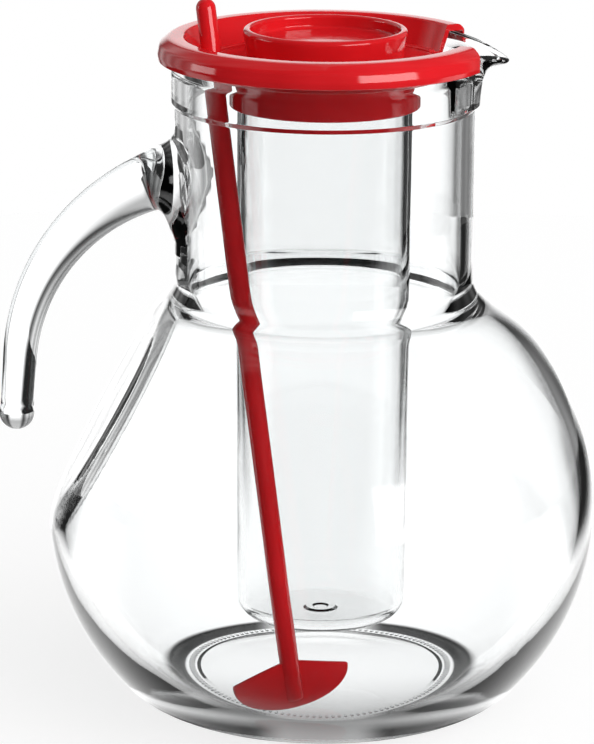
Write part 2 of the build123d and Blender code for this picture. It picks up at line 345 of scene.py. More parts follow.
# Values that follow from the sizes
inner_radius = ball_radius - ball_wall
inner_half_height_low = (ball_centre_z - floor_top_z) / math.sqrt(1 - (floor_radius / inner_radius) ** 2)
neck_inner_radius = neck_radius - neck_wall
junction_z = ball_centre_z + ball_half_height * math.sqrt(1 - (neck_radius / ball_radius) ** 2)
rim_z = junction_z + neck_height
collar_bottom_z = rim_z - collar_band_height
handle_root_z = rim_z - handle_root_drop
pad_z = handle_root_z - pad_drop
inner_root_slope = math.sqrt(1 - (neck_inner_radius / inner_radius) ** 2)
inner_half_height_high = (junction_z - shoulder_wall - ball_centre_z) / inner_root_slope
inner_junction_z = junction_z - shoulder_wall
rim_inner_radius = collar_radius - rim_thickness
ball_centre = np.array((0, 0, ball_centre_z))
panel_normal = np.array((-math.cos(panel_tilt), 0, math.sin(panel_tilt)))
neck_root_at_handle = np.array((-neck_radius, 0, junction_z))
panel_distance = panel_normal @ (neck_root_at_handle - ball_centre) + panel_root_gap
lid_skirt_bottom_z = rim_z - lid_skirt_drop
lid_top_z = rim_z + lid_crown
well_floor_z = lid_top_z - well_depth
tube_collar_bottom_z = well_floor_z - tube_collar_depth
cap_top_z = lid_top_z + cap_rise
rod_top_z = rim_z + rod_rise
crown_under_z = rim_z + seat_gap
floor_under_z = well_floor_z - well_floor_thickness
tube_top_z = floor_under_z - seat_gap


def ellipse_point(width, half_height, z):
    """Radius of an ellipse of revolution at height z."""
    return width * math.sqrt(1 - ((z - ball_centre_z) / half_height) ** 2)


def fuller(run, top_z):
    """Moves a ball profile outwards between its widest part and the neck, most below the shoulder."""
    points = []
    for radius, z in run:
        share = min(max((z - ball_centre_z) / (top_z - ball_centre_z), 0), 1)
        bulge = shoulder_bulge * math.sin(math.pi * share**3) ** 2
        lean = math.atan2(z - ball_centre_z, radius)
        points.append((radius + bulge * math.cos(lean), z + bulge * math.sin(lean)))
    return points


def lip_z(x):
    """Height of the lip's top above a distance x from the jug's axis."""
    root = collar_radius**2 / spout_reach
    return rim_z - spout_lip_drop * np.clip((x - root) / (spout_reach - root), 0, None) ** 2


def spout_radius(angles, z, inside):
    """Distance from the axis to the spout's outer or inner skin, in each direction and at each height."""
    apex = spout_reach + spout_tip_softness
    reach = apex - (spout_tip_thickness if inside else 0)
    wall = spout_wall if inside else 0
    deepest = channel_depth if inside else spout_root_depth
    slope = collar_radius / math.sqrt(apex**2 - collar_radius**2)
    softness = spout_tip_softness * slope
    # Halve the range between a radius well inside the collar and one beyond the tip
    low = np.full(np.broadcast(angles, z).shape, collar_radius * 0.72)
    high = np.full_like(low, spout_reach + 4)
    for _ in range(40):
        middle = (low + high) / 2
        x = middle * np.cos(angles)
        y = middle * np.sin(angles)
        run = np.clip(reach - x, 1e-3, None)
        back = np.clip(run - spout_tip_softness, 0, spout_root_run)
        depth = spout_tip_depth + spout_underside_slope * back + back**7 / spout_curl**6 - wall
        depth = np.clip(depth, spout_least_depth, deepest)
        drop = np.clip(lip_z(x) - z, 0, None)
        inside_skin = (y**2 + softness**2) / (slope * run) ** 2 + (drop / depth) ** 2 < 1
        inside_skin &= x < reach
        low = np.where(inside_skin, middle, low)
        high = np.where(inside_skin, high, middle)
    # The lip's straight sides end where they touch the collar
    off_axis = np.abs((angles + math.pi) % (2 * math.pi) - math.pi)
    past = off_axis - math.acos(collar_radius / apex)
    return low - 50 * np.clip(past, 0, None)


def press_panel(points, distance):
    """Presses the flat finger panel into a skin of the ball."""
    offset = points - ball_centre
    height = offset @ panel_normal
    lower = smooth_min(height, np.full_like(height, distance), panel_softness)
    # Points on the far half of the ball stay where they are
    near = height > 1
    share = np.where(near, lower / np.where(near, height, 1), 1)
    return ball_centre + offset * share[:, None]


def outer_profile():
    """The jug's outside from the foot's recess up to the collar band."""
    heel_radius = ellipse_point(ball_radius, ball_half_height, heel_height)
    lean = (ball_radius / ball_half_height) ** 2 * (ball_centre_z - heel_height) / heel_radius
    control_z = heel_slope * (heel_radius - lean * heel_height - foot_ring_outer) / (1 - heel_slope * lean)
    control_radius = heel_radius + lean * (control_z - heel_height)
    foot = rounded(
        [
            (0, foot_recess, 0),
            (foot_ring_inner - foot_recess, foot_recess, 0.5),
            (foot_ring_inner, foot_edge_z, 0.3),
            (foot_ring_outer, foot_edge_z, 0),
        ],
        4,
    )
    heel_start, heel_end = (foot_ring_outer, foot_edge_z), (heel_radius, heel_height)
    heel = bezier([heel_start, (control_radius, control_z), heel_end], 10)
    start = math.asin((heel_height - ball_centre_z) / ball_half_height)
    end = math.asin((junction_z - ball_centre_z) / ball_half_height)
    trim = neck_root_reach / ball_radius
    side = arc((0, ball_centre_z), (ball_radius, ball_half_height), start, end - trim, 66)
    side = fuller(side, junction_z)
    root = bezier([side[-1], (neck_radius, junction_z), (neck_radius, junction_z + neck_root_reach)], 8)
    neck = line(root[-1], (neck_radius, collar_bottom_z - 0.6), 16)
    collar = rounded(
        [
            (neck_radius, collar_bottom_z - 2, 0),
            (neck_radius, collar_bottom_z, 0.6),
            (collar_radius, collar_bottom_z + collar_chamfer, 0.8),
            (collar_radius, collar_bottom_z + 4, 0),
        ],
        4,
    )[1:-1]
    return joined(foot[1:], heel, side, root, neck, collar)


def inner_profile(start_z):
    """The jug's inside from the neck below the collar band down to the middle of the floor."""
    inner_start = math.asin((inner_junction_z - ball_centre_z) / inner_half_height_high)
    top = inner_start - inner_root_reach / inner_radius
    shoulder = arc((0, ball_centre_z), (inner_radius, inner_half_height_high), top, 0, 40)
    shoulder = fuller(shoulder, inner_junction_z)
    root_top = (neck_inner_radius, inner_junction_z + inner_root_reach)
    inner_root = bezier([root_top, (neck_inner_radius, inner_junction_z), shoulder[0]], 8)
    # The wall stops just above the floor, and a rounded corner joins them
    corner_turn = 0.03
    floor_angle = math.asin((floor_top_z - ball_centre_z) / inner_half_height_low) + corner_turn
    wall = arc((0, ball_centre_z), (inner_radius, inner_half_height_low), 0, floor_angle, 34)
    flat_start = (floor_radius - 3, floor_top_z)
    corner = bezier([wall[-1], (floor_radius, floor_top_z), flat_start], 6)
    return joined(
        line((neck_inner_radius, start_z), root_top, 14),
        inner_root,
        shoulder,
        wall,
        corner,
        line(flat_start, (8, floor_top_z), 6),
    )


def make_jug_skin():
    """The jug without its handle: one closed skin of rings from the foot, over the lip, to the floor."""
    spout_zone = math.radians(38)
    spout_columns = 112
    other_columns = 188
    band_rows = 30
    fine = np.linspace(-spout_zone, spout_zone, spout_columns, endpoint=False)
    coarse = np.linspace(spout_zone, 2 * math.pi - spout_zone, other_columns, endpoint=False)
    angles = np.concatenate([fine, coarse])
    columns = len(angles)

    def ring(radii, heights):
        heights = np.broadcast_to(heights, angles.shape)
        return np.stack([radii * np.cos(angles), radii * np.sin(angles), heights], 1)

    rows = []
    below = outer_profile()
    for radius, z in below:
        points = ring(np.full(columns, radius), z)
        if heel_height < z < junction_z + neck_root_reach:
            points = press_panel(points, panel_distance)
        rows.append(points)

    # Collar band up to the lip, opening into the spout
    start_z = below[-1][1]
    collar = np.full(columns, collar_radius)
    tip = spout_radius(angles, np.full(columns, rim_z - rim_thickness), False)
    lip_outer = smooth_max(collar, tip, spout_blend)
    # The lip's radius and height depend on each other, so they are found in turns
    for _ in range(8):
        x = lip_outer * np.cos(angles)
        half = np.interp(x, [collar_radius, spout_reach], [rim_thickness / 2, tip_rounding])
        top = lip_z(x) - half
        lip_outer = smooth_max(collar, spout_radius(angles, top, False), spout_blend)
    mouth = np.full(columns, rim_inner_radius)
    lip_inner = smooth_max(mouth, spout_radius(angles, top, True), spout_blend)
    for share in np.linspace(0, 1, band_rows)[1:]:
        z = start_z + (top - start_z) * share
        rows.append(ring(smooth_max(collar, spout_radius(angles, z, False), spout_blend), z))
    middle, spread = (lip_outer + lip_inner) / 2, (lip_outer - lip_inner) / 2
    for bend in np.linspace(0, math.pi, 10)[1:-1]:
        rows.append(ring(middle + spread * math.cos(bend), top + half * math.sin(bend)))

    # Inside: lip, flared mouth, neck, shoulder, wall and floor
    flare_z = rim_z - rim_flare_height
    inner_end_z = collar_bottom_z + 1
    for share in np.linspace(0, 1, band_rows):
        z = top + (inner_end_z - top) * share
        flare = np.clip((z - flare_z) / (rim_z - rim_thickness / 2 - flare_z), 0, 1)
        base = neck_inner_radius + (rim_inner_radius - neck_inner_radius) * flare
        channel = spout_radius(angles, z, True)
        rows.append(ring(smooth_max(base, channel, spout_blend), z))
    for radius, z in inner_profile(inner_end_z - 2):
        points = ring(np.full(columns, radius), z)
        if floor_top_z + 2 < z < inner_junction_z + inner_root_reach:
            points = press_panel(points, panel_distance - ball_wall)
        rows.append(points)

    points = np.concatenate(rows)
    faces = band_faces(len(rows), columns)
    bottom, floor = len(points), len(points) + 1
    last = (len(rows) - 1) * columns
    for j in range(columns):
        k = (j + 1) % columns
        faces.append((bottom, k, j))
        faces.append((floor, last + j, last + k))
    points = np.concatenate([points, [(0, 0, foot_recess), (0, 0, floor_top_z)]])
    mesh = mesh_from("jug", points, faces)
    close_and_orient(mesh)
    return add_object("jug", mesh)


def handle_place(way):
    """Centre, direction, upward direction and radius of the handle at a distance along it."""
    bend_length = handle_bend_radius * handle_bend_angle
    turn = min(max(way, 0) / handle_bend_radius, handle_bend_angle)
    lean = handle_droop + turn
    first = np.array((-math.cos(handle_droop), 0, -math.sin(handle_droop)))
    inwards = np.array((math.sin(handle_droop), 0, -math.cos(handle_droop)))
    along = np.array((-math.cos(lean), 0, -math.sin(lean)))
    centre = np.array((-neck_radius, 0, handle_root_z))
    centre = centre + handle_bend_radius * (first * math.sin(turn) + inwards * (1 - math.cos(turn)))
    centre = centre + along * max(way - bend_length, 0)
    share = min(max(way, 0) / (bend_length + handle_tail), 1)
    radius = handle_slim_radius + handle_swell * (1 - share) ** handle_taper
    return centre, along, np.array((-math.sin(lean), 0, math.cos(lean))), radius


def make_handle_skin():
    """Closed skin of the handle: the pad's flare wraps the neck, the tube ends in a ball."""
    count = 80
    pad_rows, tube_rows, end_rows = 24, 62, 16
    pad_start = -2.0
    turns = np.linspace(0, 2 * math.pi, count, endpoint=False)
    sideways = np.array((0, 1, 0))

    def hoop(middle, upwards, size):
        return middle + size * (np.outer(np.cos(turns), sideways) + np.outer(np.sin(turns), upwards))

    rows = []
    for height in np.linspace(pad_start, pad_flare, pad_rows):
        # A quarter circle that sinks into the neck at a low angle
        centre, along, upwards, radius = handle_place(height)
        rise = (height + pad_bite) / pad_flare
        if rise < 0:
            radius += pad_flare * (1 - rise)
        else:
            radius += pad_flare * (1 - math.sqrt(1 - (1 - min(rise, 1)) ** 2))
        fade = min(max(height, 0) / pad_flare, 1)
        fade = fade * fade * (3 - 2 * fade)
        y = radius * (pad_width_share + (1 - pad_width_share) * fade) * np.cos(turns)
        up = radius * np.sin(turns)
        middle_z = pad_z + (centre[2] - pad_z) * fade
        wrapped = np.stack([-np.sqrt((neck_radius + height) ** 2 - y**2), y, middle_z + up], 1)
        plane = centre + np.outer(y, sideways) + np.outer(up, upwards)
        rows.append(wrapped * (1 - fade) + plane * fade)
    end_way = handle_bend_radius * handle_bend_angle + handle_tail
    start = -math.acos(handle_slim_radius / handle_end_radius)
    tube_end = end_way + handle_end_radius * math.sin(start)
    for way in np.linspace(pad_flare, tube_end, tube_rows)[1:]:
        centre, along, upwards, radius = handle_place(way)
        rows.append(hoop(centre, upwards, radius))
    centre, along, upwards, radius = handle_place(end_way)
    for bend in np.linspace(start, math.pi / 2, end_rows)[1:-1]:
        size = handle_end_radius * math.cos(bend)
        rows.append(hoop(centre + along * handle_end_radius * math.sin(bend), upwards, size))
    points = np.concatenate(rows + [[centre + along * handle_end_radius]])
    faces = band_faces(len(rows), count)
    faces.append(tuple(range(count)))
    last = (len(rows) - 1) * count
    for j in range(count):
        faces.append((len(points) - 1, last + j, last + (j + 1) % count))
    mesh = mesh_from("handle", points, faces)
    close_and_orient(mesh)
    return add_object("handle_skin", mesh)


def make_jug():
    """Jug and handle fused into one glass."""
    jug = make_jug_skin()
    combine(jug, make_handle_skin(), "UNION")
    smooth(jug.data, math.radians(40))
    return jug


def make_camera():
    """Camera with the photograph's own view."""
    distance = 1229.1
    pitch = math.radians(14.872)
    roll = math.radians(0.423)
    target = Vector((-7.81, 0, 104.32))
    focal_pixels = 4004.9
    frame_height = 744
    back = Vector((0, -math.cos(pitch), math.sin(pitch)))
    up = Vector((0, math.sin(pitch), math.cos(pitch)))
    right = Vector((1, 0, 0))
    across = right * math.cos(roll) + up * math.sin(roll)
    upwards = up * math.cos(roll) - right * math.sin(roll)
    data = bpy.data.cameras.new("camera")
    data.sensor_width = 36
    data.lens = focal_pixels / frame_height * data.sensor_width
    data.clip_start = 0.05
    data.clip_end = 20
    camera = bpy.data.objects.new("camera", data)
    place = Matrix((across, upwards, back)).transposed().to_4x4()
    place.translation = (target + back * distance) * MILLIMETRE
    camera.matrix_world = place
    bpy.context.scene.collection.objects.link(camera)
    bpy.context.scene.camera = camera


def make_lid():
    """One moulding: hollow ring, well, floor with its ledge and the collar for the tube."""
    well_slope = (well_mouth_radius - well_floor_radius) / (lid_top_z - well_floor_z)
    outer_top = well_floor_radius + well_wall + well_slope * (crown_under_z - well_floor_z)
    outer_low = well_floor_radius + well_wall - well_slope * well_floor_thickness
    collar_inner = tube_top_radius + running_gap
    collar_outer = collar_inner + collar_wall
    cap_hole = cap_seat_radius + seat_gap
    section = rounded(
        [
            (lid_radius - 0.3, lid_skirt_bottom_z, 0.6),
            (lid_radius, lid_skirt_bottom_z + 2.0, 3.0),
            (lid_radius - 0.6, lid_top_z - 2.4, 2.4),
            (lid_radius - 3.6, lid_top_z, 3.0),
            (well_mouth_radius, lid_top_z, 0.9),
            (well_floor_radius, well_floor_z, 0.6),
            (ledge_outer, well_floor_z, 0.15),
            (ledge_outer, well_floor_z + ledge_height, 0.3),
            (ledge_inner, well_floor_z + ledge_height, 0.3),
            (ledge_inner, well_floor_z, 0.15),
            (cap_hole, well_floor_z, 0.4),
            (cap_hole, floor_under_z, 0.2),
            (collar_inner, floor_under_z, 0),
            (collar_inner, tube_collar_bottom_z, 0.4),
            (collar_outer, tube_collar_bottom_z, 0.6),
            (collar_outer, floor_under_z, 1.0),
            (outer_low, floor_under_z, 0.5),
            (outer_top, crown_under_z, 0.2),
            (lid_radius - lid_wall, crown_under_z, 1.0),
            (lid_radius - lid_wall, lid_skirt_bottom_z, 0.4),
        ],
        6,
    )
    lid = spun("lid", section, 288, True)
    # Pouring notch: a wedge whose sides turn outwards, so the ring's ends are rounded in plan
    outline = []
    for side, start in ((-1, notch_azimuth - notch_half_angle), (1, notch_azimuth + notch_half_angle)):
        along = np.array((math.cos(start), math.sin(start)))
        outwards = np.array((-math.sin(start), math.cos(start))) * side
        edge = [along * notch_inner_radius, along * (lid_radius - notch_corner)]
        for turn in np.linspace(0, math.pi / 2, 9)[1:]:
            out = lid_radius - notch_corner + notch_corner * math.sin(turn)
            edge.append(along * out + outwards * notch_corner * (1 - math.cos(turn)))
        # The straight side between both ends has to clear the ring
        edge.append(along * lid_radius * notch_overrun + outwards * notch_corner)
        outline.append(edge)
    between = np.linspace(notch_azimuth - notch_half_angle, notch_azimuth + notch_half_angle, 40)[1:-1]
    inner = [np.array((math.cos(a), math.sin(a))) * notch_inner_radius for a in between]
    path = outline[0][::-1] + inner + outline[1]
    combine(lid, prism("notch", path, floor_under_z - 5, lid_top_z + 5), "DIFFERENCE")
    hole_x = stirrer_hole_distance * math.cos(stirrer_hole_azimuth)
    hole_y = stirrer_hole_distance * math.sin(stirrer_hole_azimuth)
    circle = [
        (hole_x + stirrer_hole_radius * math.cos(a), hole_y + stirrer_hole_radius * math.sin(a))
        for a in np.linspace(0, 2 * math.pi, 64, endpoint=False)
    ]
    combine(lid, prism("hole", circle, floor_under_z - 1, well_floor_z + 4), "DIFFERENCE")
    smooth(lid.data, math.radians(32))
    return lid


def plate_faces(count):
    """Faces of a plate between two outlines of this many points."""
    faces = [tuple(range(count))[::-1], tuple(range(count, 2 * count))]
    for i in range(count):
        k = (i + 1) % count
        faces.append((i, k, count + k, count + i))
    return faces


def prism(name, outline, low, high):
    """Upright prism over a plan outline."""
    points = [(x, y, low) for x, y in outline] + [(x, y, high) for x, y in outline]
    mesh = mesh_from(name, points, plate_faces(len(outline)))
    close_and_orient(mesh)
    return add_object(name, mesh)


def make_ice_tube():
    """Clear tube with a round heel and a raised ring in its floor."""
    heel = tube_heel_radius
    floor_z = tube_bottom_z + tube_wall
    profile = rounded(
        [
            (0, tube_bottom_z, 0),
            (tube_foot_radius, tube_bottom_z, heel),
            (tube_top_radius, tube_top_z, 0.6),
            (tube_top_radius - tube_wall, tube_top_z, 0.6),
            (tube_foot_radius - tube_wall, floor_z, heel - tube_wall),
            (gate_mark_radii[0], floor_z, 0.3),
            (gate_mark_radii[1], floor_z + gate_mark_height, 0.3),
            (gate_mark_radii[2], floor_z + gate_mark_height, 0.3),
            (gate_mark_radii[3], floor_z + gate_mark_floor, 0.2),
            (0, floor_z + gate_mark_floor, 0),
        ],
        10,
    )
    tube = spun("ice_tube", profile, 192, False)
    smooth(tube.data, math.radians(40))
    return tube


def make_tube_cap():
    """Dished bung with a tapered skirt, hollow from below."""
    slope = (cap_top_radius - cap_seat_radius) / (cap_top_z - well_floor_z)
    foot = cap_seat_radius - slope * cap_skirt_depth
    bottom_z = well_floor_z - cap_skirt_depth
    plate_z = cap_top_z - cap_dish_depth
    profile = rounded(
        [
            (0, plate_z, 0),
            (cap_top_radius - cap_rim_thickness, plate_z, 0.9),
            (cap_top_radius - cap_rim_thickness, cap_top_z, 1.0),
            (cap_top_radius, cap_top_z, 1.3),
            (cap_seat_radius, well_floor_z, 0),
            (foot, bottom_z, 0.5),
            (foot - cap_wall, bottom_z, 0.5),
            (cap_seat_radius - cap_wall, plate_z - cap_wall, 1.0),
            (0, plate_z - cap_wall, 0),
        ],
        7,
    )
    cap = spun("tube_cap", profile, 192, False)
    smooth(cap.data, math.radians(40))
    return cap


def make_stirrer():
    """Round rod with a rounded tip, standing in a shield-shaped paddle."""
    hole = Vector(
        (
            stirrer_hole_distance * math.cos(stirrer_hole_azimuth),
            stirrer_hole_distance * math.sin(stirrer_hole_azimuth),
            well_floor_z - well_floor_thickness / 2,
        )
    )
    along = (hole - rod_foot).normalized()
    level = Vector((math.cos(paddle_heading), math.sin(paddle_heading), 0))
    across = (level - along * level.dot(along)).normalized()
    facing = across.cross(along)
    length = (rod_top_z - rod_radius - rod_foot.z) / along.z
    # The rod's foot end is rounded inside the paddle
    foot_length = 14
    profile = joined(
        rounded([(0, 0, 0), (rod_radius, 0, 1.2), (rod_radius, foot_length, 0)], 5),
        line((rod_radius, foot_length), (rod_radius, length), 12),
        arc((0, length), (rod_radius, rod_radius), 0, math.pi / 2, 12),
    )
    rod = spun("stirrer", profile, 64, False)
    blade = make_paddle()
    place = Matrix((across, facing, along)).transposed().to_4x4()
    place.translation = rod_foot * MILLIMETRE
    for piece in (rod, blade):
        piece.data.transform(place)
        close_and_orient(piece.data)
    combine(rod, blade, "UNION")
    smooth(rod.data, math.radians(35))
    return rod


def make_paddle():
    """Paddle plate in its own frame: X across, Z along the rod."""
    corner_z = paddle_tip + paddle_corner_rise
    outline = [(-paddle_half_width, corner_z), (0, paddle_peak), (paddle_half_width, corner_z)]
    for turn in np.linspace(0, -math.pi, 40):
        low = paddle_tip + (paddle_tip + paddle_keel) * math.sin(turn)
        outline.append((paddle_half_width * math.cos(turn), low))
    half = paddle_thickness / 2
    points = [(x, -half, z) for x, z in outline] + [(x, half, z) for x, z in outline]
    mesh = mesh_from("paddle", points, plate_faces(len(outline)))
    work = bmesh.new()
    work.from_mesh(mesh)
    bmesh.ops.recalc_face_normals(work, faces=work.faces)
    rim = [edge for edge in work.edges if edge.calc_face_angle(0) > math.radians(50)]
    bmesh.ops.bevel(
        work,
        geom=rim,
        offset=paddle_rounding * MILLIMETRE,
        segments=4,
        profile=0.5,
        affect="EDGES",
        clamp_overlap=True,
    )
    work.to_mesh(mesh)
    work.free()
    return add_object("paddle", mesh)


def make_foot_ticks():
    """Fine raised ticks around the standing ring."""
    tree = bpy.data.node_groups.new("foot_ticks", "GeometryNodeTree")
    face = tree.interface
    face.new_socket("Geometry", in_out="INPUT", socket_type="NodeSocketGeometry")
    count_socket = face.new_socket("Count", in_out="INPUT", socket_type="NodeSocketInt")
    radius_socket = face.new_socket("Ring radius", in_out="INPUT", socket_type="NodeSocketFloat")
    size_socket = face.new_socket("Tick size", in_out="INPUT", socket_type="NodeSocketVector")
    height_socket = face.new_socket("Height", in_out="INPUT", socket_type="NodeSocketFloat")
    material_socket = face.new_socket("Material", in_out="INPUT", socket_type="NodeSocketMaterial")
    face.new_socket("Geometry", in_out="OUTPUT", socket_type="NodeSocketGeometry")
    add = tree.nodes.new
    link = tree.links.new
    given = add("NodeGroupInput")
    result = add("NodeGroupOutput")
    ring = add("GeometryNodeMeshCircle")
    tick = add("GeometryNodeMeshUVSphere")
    tick.inputs["Segments"].default_value = 8
    tick.inputs["Rings"].default_value = 5
    tick.inputs["Radius"].default_value = 0.5
    place = add("GeometryNodeInstanceOnPoints")
    position = add("GeometryNodeInputPosition")
    turn = add("FunctionNodeAlignRotationToVector")
    turn.axis = "X"
    lift = add("GeometryNodeTransform")
    height = add("ShaderNodeCombineXYZ")
    realize = add("GeometryNodeRealizeInstances")
    shade = add("GeometryNodeSetMaterial")
    link(given.outputs["Count"], ring.inputs["Vertices"])
    link(given.outputs["Ring radius"], ring.inputs["Radius"])
    link(ring.outputs["Mesh"], place.inputs["Points"])
    link(tick.outputs["Mesh"], place.inputs["Instance"])
    link(position.outputs["Position"], turn.inputs["Vector"])
    link(turn.outputs["Rotation"], place.inputs["Rotation"])
    link(given.outputs["Tick size"], place.inputs["Scale"])
    link(place.outputs["Instances"], lift.inputs["Geometry"])
    link(given.outputs["Height"], height.inputs["Z"])
    link(height.outputs["Vector"], lift.inputs["Translation"])
    link(lift.outputs["Geometry"], realize.inputs["Geometry"])
    link(realize.outputs["Geometry"], shade.inputs["Geometry"])
    link(given.outputs["Material"], shade.inputs["Material"])
    link(shade.outputs["Geometry"], result.inputs["Geometry"])

    carrier = add_object("foot_ticks", bpy.data.meshes.new("foot_ticks"))
    modifier = carrier.modifiers.new("foot_ticks", "NODES")
    modifier.node_group = tree
    modifier[count_socket.identifier] = tick_count
    modifier[radius_socket.identifier] = (foot_ring_inner + foot_ring_outer) / 2 * MILLIMETRE
    modifier[size_socket.identifier] = tuple(v * MILLIMETRE for v in tick_size)
    modifier[height_socket.identifier] = tick_height * MILLIMETRE
    modifier[material_socket.identifier] = glass
    evaluated = carrier.evaluated_get(bpy.context.evaluated_depsgraph_get())
    mesh = bpy.data.meshes.new_from_object(evaluated)
    carrier.modifiers.clear()
    carrier.data = mesh
    smooth(mesh, math.radians(80))
    return carrier


def new_material(name, values):
    """Material with one Principled shader whose sockets hold the given values."""
    material = bpy.data.materials.new(name)
    material.use_nodes = True
    shader = material.node_tree.nodes["Principled BSDF"]
    for socket, value in values.items():
        shader.inputs[socket].default_value = value
    return material, material.node_tree, shader


def noise(tree, scale, detail):
    """Noise over the piece's own coordinates."""
    place = tree.nodes.new("ShaderNodeTexCoord")
    texture = tree.nodes.new("ShaderNodeTexNoise")
    texture.inputs["Scale"].default_value = scale
    texture.inputs["Detail"].default_value = detail
    tree.links.new(place.outputs["Object"], texture.inputs["Vector"])
    return texture.outputs["Fac"]


def vary(tree, source, socket, low, high):
    """Spreads a noise over a range and sends it to a shader's socket."""
    spread = tree.nodes.new("ShaderNodeMapRange")
    spread.inputs["From Min"].default_value = 0.3
    spread.inputs["From Max"].default_value = 0.7
    spread.inputs["To Min"].default_value = low
    spread.inputs["To Max"].default_value = high
    tree.links.new(source, spread.inputs["Value"])
    tree.links.new(spread.outputs["Result"], socket)


def ripple(tree, source, shader, strength, distance):
    """Bump from a noise, as on a surface that was blown or moulded."""
    bump = tree.nodes.new("ShaderNodeBump")
    bump.inputs["Strength"].default_value = strength
    bump.inputs["Distance"].default_value = distance
    tree.links.new(source, bump.inputs["Height"])
    tree.links.new(bump.outputs["Normal"], shader.inputs["Normal"])


def make_glass():
    """Clear glass with the faint waves of a blown surface."""
    material, tree, shader = new_material(
        "clear_glass",
        {
            "Base Color": (0.972, 0.98, 0.982, 1),
            "Roughness": 0.0,
            "IOR": 1.5,
            "Transmission Weight": 1.0,
        },
    )
    ripple(tree, noise(tree, 34, 1.0), shader, 0.05, 0.002)
    return material


def make_clear_plastic():
    """Clear moulded plastic, a little duller and wavier than the glass."""
    material, tree, shader = new_material(
        "clear_plastic",
        {
            "Base Color": (0.985, 0.99, 0.99, 1),
            "Roughness": 0.02,
            "IOR": 1.47,
            "Transmission Weight": 1.0,
        },
    )
    ripple(tree, noise(tree, 60, 1.0), shader, 0.025, 0.002)
    return material


def make_red_plastic():
    """Glossy red moulded plastic with a fine grain."""
    material, tree, shader = new_material(
        "red_plastic",
        {
            "IOR": 1.5,
            "Subsurface Weight": 0.04,
            "Subsurface Radius": (1.0, 0.2, 0.1),
            "Subsurface Scale": 0.0015,
        },
    )
    shade = tree.nodes.new("ShaderNodeValToRGB")
    shade.color_ramp.elements[0].position = 0.35
    shade.color_ramp.elements[0].color = (0.77, 0.014, 0.019, 1)
    shade.color_ramp.elements[1].position = 0.65
    shade.color_ramp.elements[1].color = (0.89, 0.018, 0.025, 1)
    tree.links.new(noise(tree, 40, 2.0), shade.inputs["Fac"])
    tree.links.new(shade.outputs["Color"], shader.inputs["Base Color"])
    vary(tree, noise(tree, 260, 3.0), shader.inputs["Roughness"], 0.06, 0.11)
    ripple(tree, noise(tree, 120, 2.0), shader, 0.05, 0.0006)
    return material


def maths(tree, operation, *values):
    """Math node fed with numbers or sockets."""
    node = tree.nodes.new("ShaderNodeMath")
    node.operation = operation
    for socket, value in zip(node.inputs, values):
        if isinstance(value, (int, float)):
            socket.default_value = value
        else:
            tree.links.new(value, socket)
    return node.outputs["Value"]


def step(tree, value, low, high):
    """Soft step from 0 to 1 as the value goes from low to high, or back where low is the larger."""
    node = tree.nodes.new("ShaderNodeMapRange")
    node.interpolation_type = "SMOOTHSTEP"
    node.inputs["From Min"].default_value = low
    node.inputs["From Max"].default_value = high
    tree.links.new(value, node.inputs["Value"])
    return node.outputs["Result"]


def blend_values(tree, share, first, second):
    """First where the share is 0, second where it is 1."""
    node = tree.nodes.new("ShaderNodeMix")
    node.data_type = "FLOAT"
    tree.links.new(share, node.inputs["Factor"])
    # Inputs 2 and 3 and output 0 are the sockets for plain numbers
    for socket, value in ((node.inputs[2], first), (node.inputs[3], second)):
        if isinstance(value, (int, float)):
            socket.default_value = value
        else:
            tree.links.new(value, socket)
    return node.outputs[0]


def rays(tree):
    """Four shares: seen by the camera, soft light on a surface, through glass, mirrored."""
    path = tree.nodes.new("ShaderNodeLightPath")
    soft = maths(tree, "GREATER_THAN", path.outputs["Diffuse Depth"], 0.5)
    refracted = path.outputs["Is Transmission Ray"]
    straight = maths(tree, "LESS_THAN", path.outputs["Glossy Depth"], 0.5)
    through = maths(tree, "MULTIPLY", refracted, straight)
    mirrored = maths(tree, "SUBTRACT", path.outputs["Is Glossy Ray"], refracted)
    return path.outputs["Is Camera Ray"], soft, through, mirrored


def facing(tree, x, y, heading, half_width, softness):
    """Share of a wall that stands at this heading, in degrees from +X."""
    aim = math.radians(heading)
    flat = maths(tree, "ADD", maths(tree, "MULTIPLY", x, x), maths(tree, "MULTIPLY", y, y))
    flat = maths(tree, "SQRT", flat)
    along = maths(tree, "MULTIPLY", x, math.cos(aim))
    along = maths(tree, "ADD", along, maths(tree, "MULTIPLY", y, math.sin(aim)))
    along = maths(tree, "DIVIDE", along, flat)
    edge = [math.cos(math.radians(half_width + turn)) for turn in (softness, -softness)]
    return step(tree, along, edge[0], edge[1])


